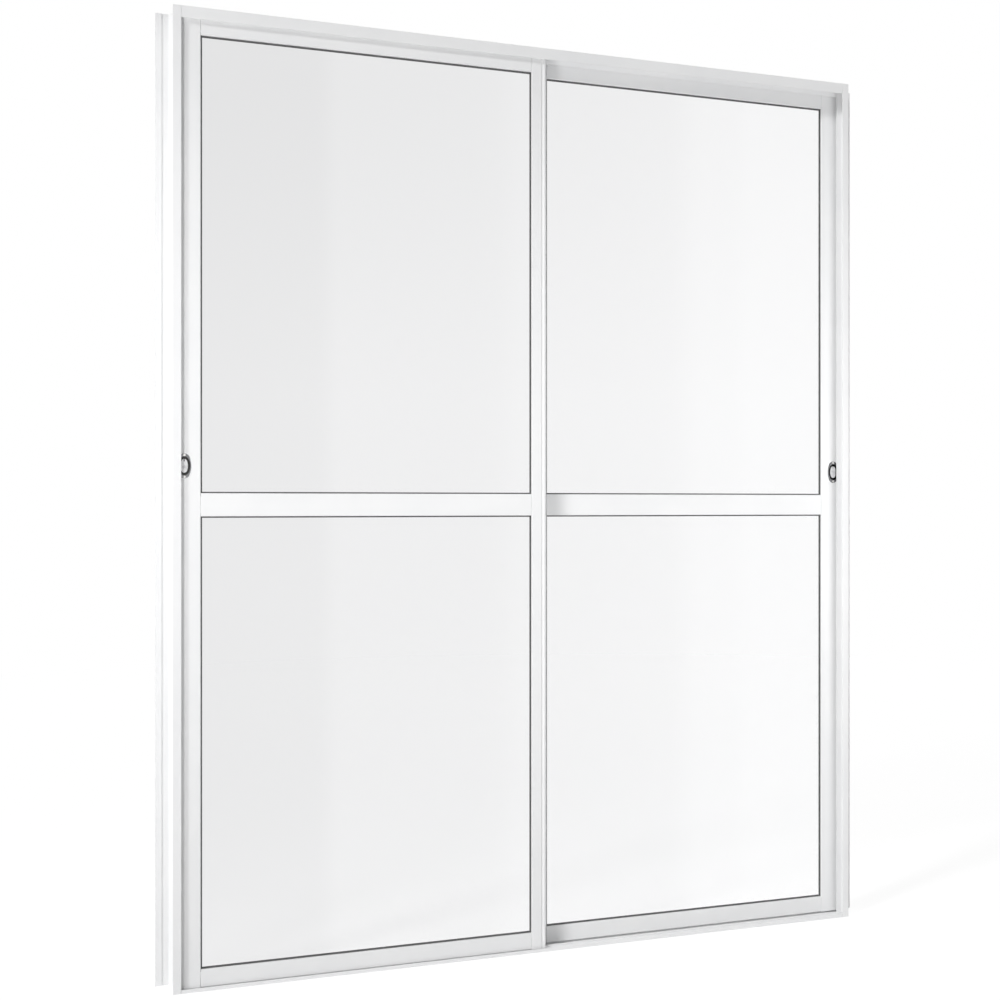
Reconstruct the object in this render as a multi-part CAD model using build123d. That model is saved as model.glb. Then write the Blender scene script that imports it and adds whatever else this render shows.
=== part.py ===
from build123d import *
import os

# Two-leaf sliding balcony door in coated aluminium, in millimetres.
# Origin: middle of the sill's underside. X runs along the width, Z up, and -Y is the room side,
# where the front leaf runs. The front leaf closes on the left jamb, the rear leaf on the right.

# Overall sizes
WIDTH = 1600          # across the jambs' front flanges
HEIGHT = 2100
LEAF_THICK = 18
SIDE_GAP = 6.5        # free space on either face of a leaf in its track

# Frame extrusions
FRAME_WALL = 1.6
FLANGE = 16.5         # inward reach of the jamb walls
FASCIA = 25           # drop of the head walls
LIP = 8               # height of the sill's front and rear edges
RAIL_TOP = 10
RAIL_THICK = 3
FIN = 37              # outward reach of each jamb's wall fin
FIN_BEVEL = 10        # hollow bevel at the fin's root
FIN_HEM = 13          # doubled edge of the fin
SEAM = 0.4            # hairline left where one extrusion butts on another

# Leaf extrusions
LEAF_WALL = 1.4
EDGE_ROUND = 1.5
JAMB_STILE = 49
MEETING_STILE = 33.5
JAMB_GAP = 5          # closed leaf to the jamb's web
MEETING_OVERLAP = 23
MEETING_SHIFT = 4     # the overlap lies this far right of the frame's middle
FLOOR_GAP = 5
LIFT_GAP = 10.4       # lets a leaf be lifted off its rail
BOTTOM_RAIL = 37.9
MID_RAIL = 50
MID_RAIL_MIDDLE = 1039
TOP_RAIL = 43.5
RAIL_NOTCH_GAP = 5    # stile feet to the sill rail

# Finger grip along the meeting stile: a shallow groove beside a rounded bead
GRIP_WIDTH = 6.5
GRIP_DEPTH = 1
BEAD_WIDTH = 4.4

# Glazing
GLASS_THICK = 4
GASKET_SIDE = 2.2
GASKET_EDGE = 1.5
GASKET_SIGHT = 3      # gasket seen beside the metal
GASKET_SLOPE = 30     # degrees, from the glass out to the lip
GROOVE_DEPTH = 7
GROOVE_SLACK = 0.3

# Interlock of the meeting stiles
HOOK_THICK = 1.5
HOOK_REACH = 9.4
HOOK_LIP = 16
HOOK_FOOT = 15
HOOK_END_GAP = 7      # hook to the head's middle wall

# Latch
LATCH_RISE = 83       # latch above the middle of the mid rail
LATCH_INSET = 15.9    # latch centre from the leaf's closing edge
LATCH_HALF_W = 14.5
LATCH_HALF_H = 27
OVAL_END = 0.8        # radius of an oval's ends, as a share of its half width
BEZEL_RIM = 1.5       # step from the bezel's edge to the body behind it
BEZEL_PROUD = 1.2
BEZEL_BEVEL = 0.8
LATCH_BODY_DEPTH = 11
POCKET_SLACK = 0.2
CUP_HALF_W = 12.5
CUP_HALF_H = 20
CUP_DEPTH = 8.5
SLIDE_HALF_W = 7.3
SLIDE_HALF_H = 14.5
SLIDE_SLACK = 0.3
SLIDE_SINK = 0.5
SCOOP_RADIUS = 10     # thumb hollow across the slide
SCOOP_DEPTH = 1.2
SCOOP_DROP = 1
SLOT_WIDTH = 2.2      # open slot at the slide's top
SLOT_LENGTH = 5
SLOT_DEPTH = 2

# Rollers and guides
ROLLER_RADIUS = 12
ROLLER_GROOVE = 2
ROLLER_WIDTH = 9
ROLLER_LIFT = 0.3
TREAD_SLACK = 2       # groove wider than the sill rail
ROLLER_SLOT_GAP = 0.5
ROLLER_END_GAP = 2    # wheel to the slot's ends in its housing
ROLLER_CROWN_GAP = 1
HOUSING_LENGTH = 44
HOUSING_FOOT = 14
ROLLER_INSET = 70
AXLE_RADIUS = 2
GUIDE_LENGTH = 36
GUIDE_HEIGHT = 7
GUIDE_GAP = 0.5
GUIDE_INSET = 30

# Derived places
CHANNEL = LEAF_THICK + 2 * SIDE_GAP
DEPTH = 2 * CHANNEL + 3 * FRAME_WALL
PITCH = CHANNEL + FRAME_WALL
FRONT_Y = -PITCH / 2
WALL_BANDS = [
    (-DEPTH / 2, -DEPTH / 2 + FRAME_WALL),
    (-FRAME_WALL / 2, FRAME_WALL / 2),
    (DEPTH / 2 - FRAME_WALL, DEPTH / 2),
]
LEAF_FOOT = FRAME_WALL + FLOOR_GAP
LEAF_HEAD = HEIGHT - FRAME_WALL - LIFT_GAP
LEAF_EDGE = -WIDTH / 2 + FRAME_WALL + JAMB_GAP
JAMB_SIGHT = LEAF_EDGE + JAMB_STILE
FRONT_MEETING = MEETING_OVERLAP / 2 + MEETING_SHIFT
REAR_MEETING = MEETING_OVERLAP / 2 - MEETING_SHIFT
BOTTOM_SIGHT = LEAF_FOOT + BOTTOM_RAIL
MID_FOOT = MID_RAIL_MIDDLE - MID_RAIL / 2
MID_HEAD = MID_RAIL_MIDDLE + MID_RAIL / 2
TOP_SIGHT = LEAF_HEAD - TOP_RAIL
GROOVE_WIDTH = GLASS_THICK + 2 * GASKET_SIDE
HALF = LEAF_THICK / 2
INNER_HALF = HALF - LEAF_WALL
LEAF_FACE = FRONT_Y - HALF
BEZEL_FACE = LEAF_FACE - BEZEL_PROUD
LATCH_X = LEAF_EDGE + LATCH_INSET
LATCH_Z = MID_RAIL_MIDDLE + LATCH_RISE
AXLE_Z = RAIL_TOP + ROLLER_LIFT + ROLLER_RADIUS - ROLLER_GROOVE


def bar(x0, x1, y0, y1):
    return Pos((x0 + x1) / 2, (y0 + y1) / 2) * Rectangle(x1 - x0, y1 - y0)


def block(x0, x1, y0, y1, z0, z1):
    return Pos((x0 + x1) / 2, (y0 + y1) / 2, (z0 + z1) / 2) * Box(x1 - x0, y1 - y0, z1 - z0)


def upright(section, z0, z1):
    return Pos(0, 0, z0) * extrude(section, amount=z1 - z0)


def lengthwise(section, x0, x1):
    return Pos(x0, 0, 0) * extrude(Plane.YZ * section, amount=x1 - x0)


def turned(piece):
    # The rear leaf is drawn like the front one and turned half round about the door's middle.
    return Rot(0, 0, 180) * piece


# Frame

def jamb_section():
    outer = -WIDTH / 2
    section = bar(outer, outer + FRAME_WALL, -DEPTH / 2, DEPTH / 2)
    for y0, y1 in WALL_BANDS:
        section += bar(outer, outer + FLANGE, y0, y1)
    back = DEPTH / 2
    face = back - FRAME_WALL
    section += bar(outer - FIN, outer, face, back)
    section += bar(outer - FIN, outer - FIN + FIN_HEM, face - FRAME_WALL, back)
    bevel = Polyline((outer, face - FIN_BEVEL), (outer, face), (outer - FIN_BEVEL, face), close=True)
    core = FIN_BEVEL - FRAME_WALL * (1 + 2 ** 0.5)
    hollow = Polyline((outer, face - core), (outer, face), (outer - core, face), close=True)
    section += make_face(bevel)
    return section - make_face(hollow)


def make_left_jamb():
    return upright(jamb_section(), 0, HEIGHT)


def notch_for_jambs(profile):
    # The head and sill reach the jamb webs, and are slotted around the jamb walls.
    length = FLANGE - FRAME_WALL + SEAM
    for side in (-1, 1):
        middle = side * (WIDTH / 2 - FRAME_WALL - length / 2)
        for y0, y1 in WALL_BANDS:
            profile -= Pos(middle, (y0 + y1) / 2, HEIGHT / 2) * Box(length, y1 - y0, HEIGHT)
    return profile


def make_head():
    section = bar(-DEPTH / 2, DEPTH / 2, HEIGHT - FRAME_WALL, HEIGHT)
    for y0, y1 in WALL_BANDS:
        section += bar(y0, y1, HEIGHT - FASCIA, HEIGHT)
    reach = WIDTH / 2 - FRAME_WALL
    return notch_for_jambs(lengthwise(section, -reach, reach))


def make_sill():
    section = bar(-DEPTH / 2, DEPTH / 2, 0, FRAME_WALL)
    for y0, y1 in (WALL_BANDS[0], WALL_BANDS[2]):
        section += bar(y0, y1, 0, LIP)
    for y in (FRONT_Y, -FRONT_Y):
        section += bar(y - RAIL_THICK / 2, y + RAIL_THICK / 2, 0, RAIL_TOP - RAIL_THICK / 2)
        section += Pos(y, RAIL_TOP - RAIL_THICK / 2) * Circle(RAIL_THICK / 2)
    reach = WIDTH / 2 - FRAME_WALL
    return notch_for_jambs(lengthwise(section, -reach, reach))


# Leaf extrusions, drawn in the front track. edge is where the leaf's meeting stile ends.

def leaf_bar(x0, x1, y0, y1):
    return bar(x0, x1, FRONT_Y + y0, FRONT_Y + y1)


def rounded(section):
    return fillet(section.vertices(), EDGE_ROUND)


def stile(section):
    # Stile feet are notched so that they pass over the sill rail.
    side = RAIL_THICK / 2 + RAIL_NOTCH_GAP
    body = upright(section, LEAF_FOOT, LEAF_HEAD)
    return body - block(-WIDTH, WIDTH, FRONT_Y - side, FRONT_Y + side, 0, RAIL_TOP + RAIL_NOTCH_GAP)


def make_jamb_stile():
    floor = JAMB_SIGHT - GROOVE_DEPTH
    section = rounded(leaf_bar(LEAF_EDGE, JAMB_SIGHT, -HALF, HALF))
    section -= leaf_bar(floor, JAMB_SIGHT, -GROOVE_WIDTH / 2, GROOVE_WIDTH / 2)
    section -= leaf_bar(LEAF_EDGE + LEAF_WALL, floor - LEAF_WALL, -INNER_HALF, INNER_HALF)
    return stile(section)


def make_meeting_stile(edge):
    sight = edge - MEETING_STILE
    floor = sight + GROOVE_DEPTH
    section = rounded(leaf_bar(sight, edge, -HALF, HALF))
    section -= leaf_bar(sight, floor, -GROOVE_WIDTH / 2, GROOVE_WIDTH / 2)
    section -= leaf_bar(floor + LEAF_WALL, edge - LEAF_WALL, -INNER_HALF, INNER_HALF)
    # The wall is thicker behind the finger groove.
    grip = edge - BEAD_WIDTH - GRIP_WIDTH / 2
    backing = GRIP_WIDTH / 2 + LEAF_WALL
    section += leaf_bar(grip - backing, grip + backing, -INNER_HALF, GRIP_DEPTH - INNER_HALF)
    radius = (GRIP_WIDTH ** 2 / 4 + GRIP_DEPTH ** 2) / (2 * GRIP_DEPTH)
    section -= Pos(grip, LEAF_FACE + GRIP_DEPTH - radius) * Circle(radius)
    return stile(section)


def make_interlock(edge):
    near = FRONT_Y + HALF
    far = near + HOOK_REACH
    section = bar(edge - HOOK_THICK, edge, near, far)
    section += bar(edge - HOOK_LIP, edge, far - HOOK_THICK, far)
    return upright(section, HOOK_FOOT, HEIGHT - FASCIA - HOOK_END_GAP)


def leaf_bar_yz(half, z0, z1):
    return bar(FRONT_Y - half, FRONT_Y + half, z0, z1)


def rail(edge, foot, head, glazed_below=True, glazed_above=True, open_below=False):
    section = rounded(leaf_bar_yz(HALF, foot, head))
    hollow_foot = foot if open_below else foot + LEAF_WALL
    hollow_head = head - LEAF_WALL
    if glazed_below:
        section -= leaf_bar_yz(GROOVE_WIDTH / 2, foot, foot + GROOVE_DEPTH)
        hollow_foot += GROOVE_DEPTH
    if glazed_above:
        section -= leaf_bar_yz(GROOVE_WIDTH / 2, head - GROOVE_DEPTH, head)
        hollow_head -= GROOVE_DEPTH
    section -= leaf_bar_yz(INNER_HALF, hollow_foot, hollow_head)
    return lengthwise(section, JAMB_SIGHT + SEAM, edge - MEETING_STILE - SEAM)


def make_top_rail(edge):
    return rail(edge, TOP_SIGHT, LEAF_HEAD, glazed_above=False)


def make_mid_rail(edge):
    return rail(edge, MID_FOOT, MID_HEAD)


def make_bottom_rail(edge):
    # Open below: the rollers hang in this channel.
    return rail(edge, LEAF_FOOT, BOTTOM_SIGHT, glazed_below=False, open_below=True)


# Glazing

def pane_block(edge, foot, head, margin, thick):
    return block(
        JAMB_SIGHT - margin, edge - MEETING_STILE + margin,
        FRONT_Y - thick / 2, FRONT_Y + thick / 2,
        foot - margin, head + margin,
    )


def make_glass(edge, foot, head):
    return pane_block(edge, foot, head, GROOVE_DEPTH - GROOVE_SLACK - GASKET_EDGE, GLASS_THICK)


def make_gasket(edge, foot, head):
    # A ring around the glass edge, with lips that slope from the glass out to the metal.
    ring = pane_block(edge, foot, head, GROOVE_DEPTH - GROOVE_SLACK, GROOVE_WIDTH)
    width = edge - MEETING_STILE - JAMB_SIGHT
    middle = (JAMB_SIGHT + width / 2, FRONT_Y - GLASS_THICK / 2, (foot + head) / 2)
    plane = Plane(middle, x_dir=(1, 0, 0), z_dir=(0, -1, 0))
    sight = Rectangle(width - 2 * GASKET_SIGHT, head - foot - 2 * GASKET_SIGHT)
    mouth = extrude(plane * sight, amount=GASKET_SIDE, taper=-GASKET_SLOPE)
    ring -= mouth
    ring -= mirror(mouth, about=Plane.XZ.offset(-FRONT_Y))
    return ring - make_glass(edge, foot, head)


# Rollers and guides

def roller_places(edge):
    return (JAMB_SIGHT + ROLLER_INSET, edge - MEETING_STILE - ROLLER_INSET)


def make_rollers(edge):
    # Grooved wheels on their axles, resting on the sill rail.
    tread = RAIL_THICK + TREAD_SLACK
    groove = Cylinder(ROLLER_RADIUS, tread) - Cylinder(ROLLER_RADIUS - ROLLER_GROOVE, tread)
    wheel = Cylinder(ROLLER_RADIUS, ROLLER_WIDTH) - groove
    wheel += Cylinder(AXLE_RADIUS, 2 * INNER_HALF)
    return [Pos(x, FRONT_Y, AXLE_Z) * Rot(90, 0, 0) * wheel for x in roller_places(edge)]


def make_roller_housings(edge):
    head = BOTTOM_SIGHT - GROOVE_DEPTH - LEAF_WALL
    half = HOUSING_LENGTH / 2
    slot = ROLLER_WIDTH / 2 + ROLLER_SLOT_GAP
    reach = ROLLER_RADIUS + ROLLER_END_GAP
    crown = AXLE_Z + ROLLER_RADIUS + ROLLER_CROWN_GAP
    housing = block(-half, half, -INNER_HALF, INNER_HALF, HOUSING_FOOT, head)
    housing -= block(-reach, reach, -slot, slot, 0, crown)
    housing -= Pos(0, 0, AXLE_Z) * Rot(90, 0, 0) * Cylinder(AXLE_RADIUS, LEAF_THICK)
    return [Pos(x, FRONT_Y, 0) * housing for x in roller_places(edge)]


def make_top_guides(edge):
    half = CHANNEL / 2 - GUIDE_GAP
    guides = []
    for x in (LEAF_EDGE + GUIDE_INSET, edge - GUIDE_INSET):
        x0 = x - GUIDE_LENGTH / 2
        x1 = x + GUIDE_LENGTH / 2
        guides.append(block(x0, x1, FRONT_Y - half, FRONT_Y + half, LEAF_HEAD, LEAF_HEAD + GUIDE_HEIGHT))
    return guides


# Latch, drawn on the front leaf's room face

def oval(half_w, half_h, y0, y1):
    # Four arcs that meet without a corner: tight ends, and slack sides with their centres far across.
    end = OVAL_END * half_w
    rise = half_h - end
    side = (half_w**2 + rise**2 - end**2) / (2 * (half_w - end))
    across = side - half_w
    meet = Vector(across, rise).normalized() * side - Vector(across, 0)
    right = ThreePointArc((meet.X, -meet.Y), (half_w, 0), (meet.X, meet.Y))
    top = ThreePointArc((meet.X, meet.Y), (0, half_h), (-meet.X, meet.Y))
    outline = [right, top, mirror(right, about=Plane.YZ), mirror(top, about=Plane.XZ)]
    plane = Plane((LATCH_X, y0, LATCH_Z), x_dir=(1, 0, 0), z_dir=(0, 1, 0))
    return extrude(plane * make_face(outline), amount=y1 - y0)


def latch_pocket():
    slack = BEZEL_RIM - POCKET_SLACK
    back = LEAF_FACE + LATCH_BODY_DEPTH + POCKET_SLACK
    return oval(LATCH_HALF_W - slack, LATCH_HALF_H - slack, BEZEL_FACE, back)


def make_latch_case():
    bezel = oval(LATCH_HALF_W, LATCH_HALF_H, BEZEL_FACE, LEAF_FACE)
    bezel = chamfer(bezel.edges().group_by(Axis.Y)[0], BEZEL_BEVEL)
    body = oval(LATCH_HALF_W - BEZEL_RIM, LATCH_HALF_H - BEZEL_RIM, LEAF_FACE, LEAF_FACE + LATCH_BODY_DEPTH)
    return bezel + body - oval(CUP_HALF_W, CUP_HALF_H, BEZEL_FACE, BEZEL_FACE + CUP_DEPTH)


def make_latch_slide():
    # Thumb slide in the finger cup, with a hollow for the thumb and an open slot at its top.
    front = BEZEL_FACE + SLIDE_SINK
    slide = oval(SLIDE_HALF_W, SLIDE_HALF_H, front, BEZEL_FACE + CUP_DEPTH - SLIDE_SLACK)
    scoop = Rot(0, 90, 0) * Cylinder(SCOOP_RADIUS, 2 * LATCH_HALF_W)
    slide -= Pos(LATCH_X, front + SCOOP_DEPTH - SCOOP_RADIUS, LATCH_Z - SCOOP_DROP) * scoop
    top = LATCH_Z + SLIDE_HALF_H
    half = SLOT_WIDTH / 2
    return slide - block(LATCH_X - half, LATCH_X + half, front, front + SLOT_DEPTH, top - SLOT_LENGTH, top)


def on_rear_leaf(latch_piece):
    # The rear leaf's latch is mirrored, and faces the room like the front one.
    return Pos(0, PITCH, 0) * mirror(latch_piece, about=Plane.YZ)


def write(name, solids):
    pieces = solids if isinstance(solids, list) else [solids]
    shape = Compound(children=pieces) if len(pieces) > 1 else pieces[0]
    export_step(shape, f"parts/{name}.step")


def write_pair(name, make, *heights):
    # A piece of the front leaf, and its like on the rear leaf.
    write(f"front_{name}", make(FRONT_MEETING, *heights))
    rear = make(REAR_MEETING, *heights)
    pieces = rear if isinstance(rear, list) else [rear]
    write(f"rear_{name}", [turned(piece) for piece in pieces])


os.makedirs("parts", exist_ok=True)

left_jamb = make_left_jamb()
write("left_jamb", left_jamb)
write("right_jamb", mirror(left_jamb, about=Plane.YZ))
write("head", make_head())
write("sill", make_sill())

jamb_stile = make_jamb_stile()
pocket = latch_pocket()
write("front_jamb_stile", jamb_stile - pocket)
write("rear_jamb_stile", turned(jamb_stile) - on_rear_leaf(pocket))
write_pair("meeting_stile", make_meeting_stile)
write_pair("interlock", make_interlock)
write_pair("top_rail", make_top_rail)
write_pair("mid_rail", make_mid_rail)
write_pair("bottom_rail", make_bottom_rail)

for level, foot, head in (("lower", BOTTOM_SIGHT, MID_FOOT), ("upper", MID_HEAD, TOP_SIGHT)):
    write_pair(f"{level}_glass", make_glass, foot, head)
    write_pair(f"{level}_gasket", make_gasket, foot, head)

write_pair("rollers", make_rollers)
write_pair("roller_housings", make_roller_housings)
write_pair("top_guides", make_top_guides)

for name, piece in (("latch_case", make_latch_case()), ("latch_slide", make_latch_slide())):
    write(f"front_{name}", piece)
    write(f"rear_{name}", on_rear_leaf(piece))
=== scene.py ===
# %% [markdown]
# A sliding balcony door, dressed for a studio picture.
# The real thing is a slim white aluminium frame with two glazed leaves that slide past each other.
# Its solids are finished already, so this lesson only has to light them, coat them and add what is
# too small for the solids. We load them first and never move them: every later step measures from them.

# %% Load the solids
import math

import bmesh
import bpy
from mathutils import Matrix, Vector


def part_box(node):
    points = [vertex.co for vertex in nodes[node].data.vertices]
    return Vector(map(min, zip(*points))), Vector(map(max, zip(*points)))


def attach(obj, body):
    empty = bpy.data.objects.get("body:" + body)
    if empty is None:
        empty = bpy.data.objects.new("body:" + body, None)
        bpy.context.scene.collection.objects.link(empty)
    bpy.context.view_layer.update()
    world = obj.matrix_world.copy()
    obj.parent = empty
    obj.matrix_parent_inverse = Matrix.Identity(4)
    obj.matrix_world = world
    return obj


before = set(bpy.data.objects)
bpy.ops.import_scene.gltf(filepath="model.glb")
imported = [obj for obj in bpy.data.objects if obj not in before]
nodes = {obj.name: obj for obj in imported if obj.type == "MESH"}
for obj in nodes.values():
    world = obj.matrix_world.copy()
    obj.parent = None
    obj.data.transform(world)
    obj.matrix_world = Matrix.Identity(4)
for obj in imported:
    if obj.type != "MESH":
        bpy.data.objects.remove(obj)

scene = bpy.context.scene
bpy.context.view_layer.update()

# %% [markdown]
# The camera stands in the room, near the left jamb and at half the door's height, and looks a little
# to the right. The photograph is a crop of a wider picture, so its lines run to a point that isn't the
# middle of the frame. Turning the camera to make up for that would lean the uprights; a lens shift
# keeps them upright, which is how an architect's camera does it.

# %% Stand the camera in the room
IMAGE_SIDE = 1000              # pixels, square picture
FOCAL_PIXELS = 1295
SIGHT_POINT = (648.8, 504.8)   # where the line of sight meets the picture
SENSOR_MM = 36.0
CAMERA_PLACE = (-0.745, -2.956, 1.039)
TURN_RIGHT = 19.1              # degrees from straight at the door

camera_data = bpy.data.cameras.new("room_camera")
camera_data.sensor_fit = "HORIZONTAL"
camera_data.sensor_width = SENSOR_MM
camera_data.lens = FOCAL_PIXELS / IMAGE_SIDE * SENSOR_MM
camera_data.shift_x = 0.5 - SIGHT_POINT[0] / IMAGE_SIDE
camera_data.shift_y = SIGHT_POINT[1] / IMAGE_SIDE - 0.5
camera = bpy.data.objects.new("room_camera", camera_data)
camera.location = CAMERA_PLACE
camera.rotation_euler = (math.radians(90), 0, math.radians(-TURN_RIGHT))
scene.collection.objects.link(camera)
scene.camera = camera
scene.view_settings.view_transform = "Standard"
print("lens", round(camera_data.lens, 2), "mm")
print("shift", round(camera_data.shift_x, 4), round(camera_data.shift_y, 4))

# %% [markdown]
# A material is a small network of nodes. One helper adds a node and sets its plain values, another
# joins two sockets, and a few more make the pairs that every finish needs: a noise, a blend of two
# colours, a spread of numbers. With them each finish below reads as a short recipe.

# %% Helpers for node recipes
def new_tree(owner):
    owner.use_nodes = True
    owner.node_tree.nodes.clear()
    return owner.node_tree


def add(tree, kind, **values):
    node = tree.nodes.new("ShaderNode" + kind)
    for key, value in values.items():
        if key in node.inputs:
            node.inputs[key].default_value = value
        else:
            setattr(node, key, value)
    return node


def join(tree, source, output, target, socket):
    tree.links.new(source.outputs[output], target.inputs[socket])
    return target


def maths(tree, operation, first, second):
    # first is (node, output); second is another such pair or a plain number
    node = add(tree, "Math", operation=operation)
    join(tree, *first, node, 0)
    if isinstance(second, tuple):
        join(tree, *second, node, 1)
    else:
        node.inputs[1].default_value = second
    return node


def noise(tree, scale, detail):
    spot = add(tree, "TexCoord")
    return join(tree, spot, "Object", add(tree, "TexNoise", Scale=scale, Detail=detail), "Vector")


def ramp(tree, source, stops):
    node = join(tree, *source, add(tree, "ValToRGB"), 0)
    elements = node.color_ramp.elements
    while len(elements) < len(stops):
        elements.new(0.5)
    for element, (place, colour) in zip(elements, stops):
        element.position = place
        element.color = (*colour, 1)
    return node


def spread(tree, source, low, high, span=(0.0, 1.0)):
    limits = {"From Min": span[0], "From Max": span[1], "To Min": low, "To Max": high}
    return join(tree, *source, add(tree, "MapRange", **limits), "Value")


def bump(tree, source, strength, depth):
    return join(tree, *source, add(tree, "Bump", Strength=strength, Distance=depth), "Height")


def grey(value):
    return (value, value, value)


print("helpers ready")

# %% [markdown]
# The picture has a plain white ground, but a room that is white all round would flatten the door.
# So the world is plain white to a ray that shows the background, a faint fill to a ray that lights the
# door, and a studio with a dim left side and a bright right side to a ray that has been mirrored.
# Glass shows only what it mirrors and lets through, so those soft upright bands are what make the
# panes look like glass. The Light Path node tells these rays apart.

# %% White surroundings
FILL = 0.02                # light on the door from all round
BANDS_SPAN = (-0.5, 1.0)   # sideways slope of a mirrored ray, left to right
BANDS_FULL = 3.0           # the ramp holds shares of this
STEEPEST = 0.1             # least forward share of a ray, so that no slope is endless
HIGH_RAYS = (0.08, 0.30)   # upward share of a ray, where the studio starts and ends to dim
HIGH_DIM = 0.70            # how much dimmer the studio is up there
DARKEST = 0.05
STUDIO_BANDS = [
    (-0.5, 0.40), (0.0, 0.70), (0.084, 0.80), (0.098, 1.25), (0.20, 1.35), (0.222, 1.45), (0.236, 1.70),
    (0.30, 1.80), (0.365, 1.98), (0.390, 2.42), (0.42, 2.48), (0.436, 2.68), (1.0, 2.80),
]

world = bpy.data.worlds.new("white_room")
scene.world = world
sky = new_tree(world)
path = add(sky, "LightPath")
direction = join(sky, add(sky, "TexCoord"), "Generated", add(sky, "SeparateXYZ"), 0)
forward = maths(sky, "MAXIMUM", (maths(sky, "ABSOLUTE", (direction, "Y"), 0.0), 0), STEEPEST)
slope = maths(sky, "DIVIDE", (direction, "X"), (forward, 0))
across = spread(sky, (slope, 0), 0.0, 1.0, BANDS_SPAN)
stops = []
for place, value in STUDIO_BANDS:
    stops.append(((place - BANDS_SPAN[0]) / (BANDS_SPAN[1] - BANDS_SPAN[0]), grey(value / BANDS_FULL)))
bands = ramp(sky, (across, 0), stops)
height_dim = spread(sky, (direction, "Z"), 0.0, HIGH_DIM, HIGH_RAYS)
studio = maths(sky, "SUBTRACT", (maths(sky, "MULTIPLY", (bands, 0), BANDS_FULL), 0), (height_dim, 0))
studio_light = add(sky, "Background", Color=(1.0, 1.0, 1.0, 1))
join(sky, maths(sky, "MAXIMUM", (studio, 0), DARKEST), 0, studio_light, "Strength")
white_light = add(sky, "Background", Color=(1.0, 1.0, 1.0, 1), Strength=1.0)
fill_light = add(sky, "Background", Color=(0.97, 0.98, 1.0, 1), Strength=FILL)

shows = maths(sky, "MAXIMUM", (path, "Is Camera Ray"), (path, "Is Transmission Ray"))
mirrored = maths(sky, "MINIMUM", (path, "Glossy Depth"), 1.0)
ground = join(sky, shows, 0, add(sky, "MixShader"), 0)
join(sky, fill_light, 0, ground, 1)
join(sky, white_light, 0, ground, 2)
room = join(sky, mirrored, 0, add(sky, "MixShader"), 0)
join(sky, ground, 0, room, 1)
join(sky, studio_light, 0, room, 2)
join(sky, room, 0, add(sky, "OutputWorld"), "Surface")
print("world ready, fill", FILL)

# %% [markdown]
# The floor plays the same game. Near the door it is almost white to the eye and keeps a share of its
# true shading, so that the door's shadow stays on it. Further out it fades into plain white, because the
# lamps don't reach there and a grey horizon would show through the panes. To a mirrored ray the floor is
# clear, so that no edge of it crosses the glass.

# %% White floor
FLOOR_REACH = 30           # metres, half a side
FLOOR_WHITE = 0.80         # share of the floor that glows white to the eye, near the door
FLOOR_GLOW = 1.155         # makes up for the dimmer rest
FLOOR_FADE = (1.5, 6.0)    # metres from the door, where the fade to plain white starts and ends

floor_mesh = bpy.data.meshes.new("floor")
shape = bmesh.new()
bmesh.ops.create_grid(shape, x_segments=1, y_segments=1, size=FLOOR_REACH)
shape.to_mesh(floor_mesh)
shape.free()
floor = bpy.data.objects.new("floor", floor_mesh)
scene.collection.objects.link(floor)

floor_white = bpy.data.materials.new("floor_white")
tree = new_tree(floor_white)
path = add(tree, "LightPath")
shows = maths(tree, "MAXIMUM", (path, "Is Camera Ray"), (path, "Is Transmission Ray"))
away = join(tree, add(tree, "TexCoord"), "Object", add(tree, "VectorMath", operation="LENGTH"), 0)
white_part = spread(tree, (away, "Value"), FLOOR_WHITE, 1.0, FLOOR_FADE)
lit = join(tree, maths(tree, "MULTIPLY", (shows, 0), (white_part, 0)), 0, add(tree, "MixShader"), 0)
glow = add(tree, "Emission", Color=(1.0, 1.0, 1.0, 1))
join(tree, spread(tree, (away, "Value"), FLOOR_GLOW, 1.0, FLOOR_FADE), 0, glow, "Strength")
join(tree, add(tree, "BsdfDiffuse", Color=(0.8, 0.8, 0.8, 1)), 0, lit, 1)
join(tree, glow, 0, lit, 2)
seen = join(tree, maths(tree, "MINIMUM", (path, "Glossy Depth"), 1.0), 0, add(tree, "MixShader"), 0)
join(tree, lit, 0, seen, 1)
join(tree, add(tree, "BsdfTransparent"), 0, seen, 2)
join(tree, seen, 0, add(tree, "OutputMaterial"), "Surface")
floor_mesh.materials.append(floor_white)
print("floor ready")

# %% [markdown]
# The light on the real door comes from the upper left: the jamb's flange throws a grey strip on the
# stile behind it, the head shades the top rail of the rear leaf, and the front leaf shades the rear
# leaf's left edge. A sun lamp with a wide angle gives that even, soft-edged light over the whole height.
# Soft boxes at half height lift the middle of the door, so that its top and foot fall off a little.
# A low sun from behind lights the back, for whoever walks round the door, and hardly touches the floor.

# %% Lamps
SUN_DISTANCE = 6           # metres; a sun lamp shines alike from any distance


def aim(thing, target):
    thing.rotation_euler = (Vector(target) - thing.location).to_track_quat("-Z", "Y").to_euler()


def hang(name, lamp, place, target):
    thing = bpy.data.objects.new(name, lamp)
    thing.location = place
    aim(thing, target)
    for ray in ("camera", "glossy", "transmission"):
        setattr(thing, "visible_" + ray, False)
    scene.collection.objects.link(thing)


def soft_box(name, place, target, width, height, power):
    lamp = bpy.data.lights.new(name, "AREA")
    lamp.shape = "RECTANGLE"
    lamp.size = width
    lamp.size_y = height
    lamp.energy = power
    hang(name, lamp, place, target)


def far_light(name, azimuth, elevation, width, strength):
    # azimuth in degrees to the left of a line straight out of the door
    lamp = bpy.data.lights.new(name, "SUN")
    lamp.angle = math.radians(width)
    lamp.energy = strength
    left = math.radians(azimuth)
    up = math.radians(elevation)
    place = Vector((-math.sin(left) * math.cos(up), -math.cos(left) * math.cos(up), math.sin(up)))
    hang(name, lamp, place * SUN_DISTANCE, (0, 0, 0))


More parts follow.
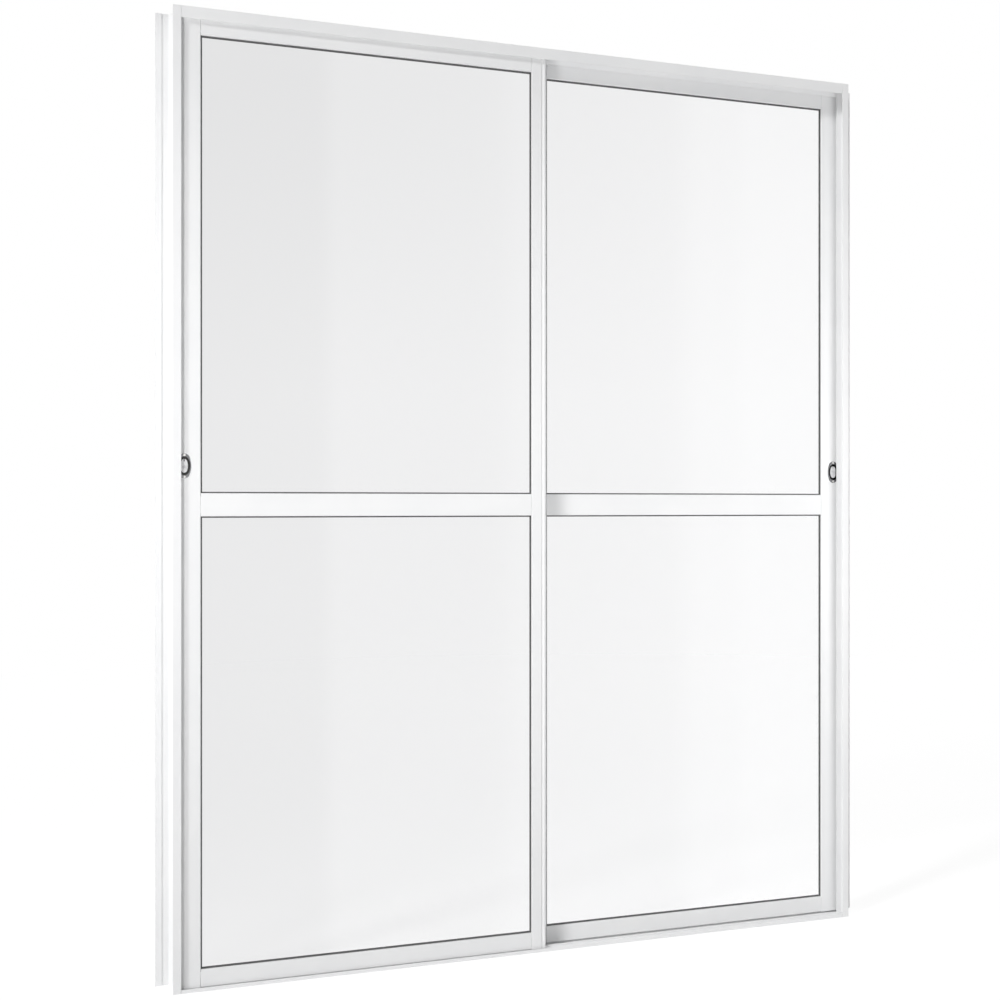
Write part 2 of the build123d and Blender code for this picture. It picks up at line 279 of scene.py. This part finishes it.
far_light("left_window", azimuth=62, elevation=30, width=10, strength=1.74)
far_light("back_window", azimuth=-150, elevation=6, width=20, strength=2.0)
soft_box("left_box", place=(-2.0, -1.6, 1.35), target=(-0.5, 0, 1.35), width=0.5, height=0.6, power=22)
soft_box("right_box", place=(1.15, -1.3, 1.1), target=(0.6, 0, 1.1), width=0.5, height=0.6, power=8.0)
soft_box("front_box", place=(-0.2, -1.5, 1.3), target=(0.0, 0, 1.3), width=1.6, height=0.5, power=5.5)

# %% [markdown]
# The aluminium is coated with baked white powder. Close up, such a coat is never quite flat: it has
# a fine orange-peel skin, and its gloss changes a little from place to place. Noise in three sizes
# gives that: the finest bends the surface normal, the middle one varies the gloss, and the largest
# makes the white a touch warmer or cooler.

# %% White powder coat
powder_coat = bpy.data.materials.new("white_powder_coat")
tree = new_tree(powder_coat)
coat = add(tree, "BsdfPrincipled", **{"IOR": 1.5, "Specular IOR Level": 0.4})
whites = [(0.35, (0.858, 0.862, 0.868)), (0.65, (0.880, 0.882, 0.885))]
join(tree, ramp(tree, (noise(tree, 7.0, 3.0), 0), whites), 0, coat, "Base Color")
join(tree, spread(tree, (noise(tree, 160.0, 2.0), 0), 0.34, 0.46), 0, coat, "Roughness")
join(tree, bump(tree, (noise(tree, 620.0, 1.0), 0), 0.18, 0.0002), 0, coat, "Normal")
join(tree, coat, 0, add(tree, "OutputMaterial"), "Surface")
print("coat ready:", powder_coat.name)

# %% [markdown]
# The panes are plain float glass, 4 mm thick. A closed slab with full transmission bends and mirrors
# light as the real sheet does. A faint grey-green tint stands for what the sheet soaks up, and a
# very slow noise leaves the surface a hair off flat, as poured glass is. The panes throw no shadow:
# light that glass lets through would otherwise arrive as grain.

# %% Float glass
float_glass = bpy.data.materials.new("float_glass")
tree = new_tree(float_glass)
sheet = add(tree, "BsdfPrincipled", **{"Transmission Weight": 1.0, "Roughness": 0.0, "IOR": 1.5})
tints = [(0.3, (0.836, 0.837, 0.842)), (0.7, (0.843, 0.843, 0.848))]
join(tree, ramp(tree, (noise(tree, 1.5, 1.0), 0), tints), 0, sheet, "Base Color")
join(tree, bump(tree, (noise(tree, 3.0, 0.0), 0), 0.05, 0.0005), 0, sheet, "Normal")
join(tree, sheet, 0, add(tree, "OutputMaterial"), "Surface")
print("glass ready:", float_glass.name)

# %% [markdown]
# The rest is small: dark rubber round the panes, nylon rollers and guides, and nickel screws. Each has
# a fine grain of its own, so one recipe serves them all, with a colour for the dips and one for the tops
# of the grain.

# %% Rubber, nylon and screw metal
GRAIN_DEPTH = 0.0002       # metres


def grained(name, dips, tops, rough, metallic, scale, relief):
    material = bpy.data.materials.new(name)
    tree = new_tree(material)
    surface = add(tree, "BsdfPrincipled", **{"Metallic": metallic})
    grain = noise(tree, scale, 3.0)
    join(tree, ramp(tree, (grain, 0), [(0.3, dips), (0.7, tops)]), 0, surface, "Base Color")
    join(tree, spread(tree, (grain, 0), *rough), 0, surface, "Roughness")
    join(tree, bump(tree, (grain, 0), relief, GRAIN_DEPTH), 0, surface, "Normal")
    join(tree, surface, 0, add(tree, "OutputMaterial"), "Surface")
    return material


gasket_rubber = grained(
    "gasket_rubber", dips=grey(0.08), tops=(0.13, 0.13, 0.133), rough=(0.55, 0.8),
    metallic=0.0, scale=400.0, relief=0.1
)
roller_nylon = grained(
    "roller_nylon", dips=grey(0.45), tops=(0.58, 0.58, 0.57), rough=(0.4, 0.55),
    metallic=0.0, scale=500.0, relief=0.1
)
screw_nickel = grained(
    "screw_nickel", dips=(0.78, 0.77, 0.75), tops=(0.88, 0.87, 0.85), rough=(0.22, 0.35),
    metallic=0.5, scale=1500.0, relief=0.05
)
print("small finishes ready")

# %% [markdown]
# The latch case is a plated oval cup. Its metal is lighter at the rim and darkens down into the
# cup, which is painted shade. The thumb slide is lacquered light grey, and painted shade darkens
# its slot. The generated coordinate runs from 0 at a piece's front to 1 at its back, so a ramp
# along it can tell the front from the depth of either piece, on both leaves.

# %% Latch case and slide
RAMP_JITTER = 0.06                # how far noise blurs the steps of a ramp


def by_depth(name, stops, metallic, rough, scale):
    material = bpy.data.materials.new(name)
    tree = new_tree(material)
    surface = add(tree, "BsdfPrincipled", **{"Metallic": metallic})
    inward = join(tree, add(tree, "TexCoord"), "Generated", add(tree, "SeparateXYZ"), 0)
    # noise shifts where the painted shade starts along the depth ramp
    jitter = maths(tree, "MULTIPLY", (noise(tree, scale, 3.0), 0), RAMP_JITTER)
    depth = maths(tree, "ADD", (inward, "Y"), (jitter, 0))
    join(tree, ramp(tree, (depth, 0), stops), 0, surface, "Base Color")
    join(tree, spread(tree, (noise(tree, 2 * scale, 2.0), 0), *rough), 0, surface, "Roughness")
    join(tree, surface, 0, add(tree, "OutputMaterial"), "Surface")
    return material


# metal colour lighter at the front and dark down into the cup: painted shade in the cup
plating_cup_shade = [
    (0.0, (0.34, 0.34, 0.35)), (0.10, (0.30, 0.30, 0.31)), (0.18, (0.20, 0.20, 0.21)), (0.7, grey(0.08)),
]
# light grey lacquer at the front, dark deeper in: painted shade in the slot
lacquer_slot_shade = [
    (0.0, (0.84, 0.84, 0.85)), (0.18, (0.76, 0.76, 0.77)), (0.25, (0.16, 0.16, 0.17)), (1.0, grey(0.08)),
]
# the case's colour darkens with depth: painted shade in the cup
plated_case_cup_shade = by_depth("plated_case_cup_shade", plating_cup_shade, metallic=1.0, rough=(0.16, 0.30), scale=450.0)
# the slide's colour darkens with depth: painted shade in its slot
slide_lacquer_slot_shade = by_depth("slide_lacquer_slot_shade", lacquer_slot_shade, metallic=0.1, rough=(0.30, 0.42), scale=600.0)
print("latch finishes ready")

# %% [markdown]
# Every solid now gets its finish, by the last word of its name. Assigning to the material slot leaves
# the mesh as it is.

# %% Dress the solids
FINISH = {
    "glass": float_glass, "gasket": gasket_rubber, "rollers": roller_nylon, "housings": roller_nylon,
    "guides": roller_nylon, "case": plated_case_cup_shade, "slide": slide_lacquer_slot_shade,
}
for name, solid in nodes.items():
    kind = name.rsplit("_", 1)[-1]
    solid.data.materials.clear()
    solid.data.materials.append(FINISH.get(kind, powder_coat))
    if kind == "glass":
        solid.visible_shadow = False
print("dressed", len(nodes), "solids")

# %% [markdown]
# Two screws hold each latch case, above and below its cup. A pan head is a low dome with a cross cut
# into it. We build it ring by ring: round rings up the dome, then rings in the outline of a cross that
# go down again. Every ring has the same number of points, so the mesh stays closed and needs no boolean.

# %% Latch screws
HEAD_RADIUS = 0.0026
HEAD_RISE = 0.0010
SCREW_OFFSET = 0.0234      # above and below the latch's middle
SIDES = 48
ARM, SLOT = 0.58, 0.13     # half length and half width of the cross, as shares of the head's radius


def round_edge(turn):
    return 1.0


def cross_edge(turn):
    # distance from the middle to the edge of a cross, in the direction of turn
    along = max(abs(math.cos(turn)), 1e-6)
    beside = max(abs(math.sin(turn)), 1e-6)
    return max(min(ARM / along, SLOT / beside), min(SLOT / along, ARM / beside))


HEAD_RINGS = [
    (round_edge, 1.0, -0.3), (round_edge, 1.0, 0.35), (round_edge, 0.93, 0.68), (round_edge, 0.8, 0.9),
    (round_edge, 0.66, 1.0), (cross_edge, 1.0, 1.0), (cross_edge, 0.85, 0.3),
]


def screw_head(name, place, body):
    mesh = bpy.data.meshes.new(name)
    shape = bmesh.new()
    rings = []
    for edge, share, rise in HEAD_RINGS:
        ring = []
        for step in range(SIDES):
            turn = 2 * math.pi * (step + 0.5) / SIDES
            reach = HEAD_RADIUS * share * edge(turn)
            ring.append(shape.verts.new((reach * math.cos(turn), -HEAD_RISE * rise, reach * math.sin(turn))))
        rings.append(ring)
    for lower, upper in zip(rings, rings[1:]):
        for step in range(SIDES):
            after = (step + 1) % SIDES
            shape.faces.new((lower[step], lower[after], upper[after], upper[step]))
    shape.faces.new(rings[-1])
    shape.faces.new(list(reversed(rings[0])))
    bmesh.ops.recalc_face_normals(shape, faces=shape.faces)
    shape.to_mesh(mesh)
    shape.free()
    mesh.materials.append(screw_nickel)
    screw = bpy.data.objects.new(name, mesh)
    screw.location = place
    scene.collection.objects.link(screw)
    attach(screw, body)


for side in ("front", "rear"):
    low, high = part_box(side + "_latch_case")
    middle = [(a + b) / 2 for a, b in zip(low, high)]
    for word, offset in (("upper", SCREW_OFFSET), ("lower", -SCREW_OFFSET)):
        screw_head(f"{side}_latch_{word}_screw", (middle[0], low[1], middle[2] + offset), side + "_leaf")
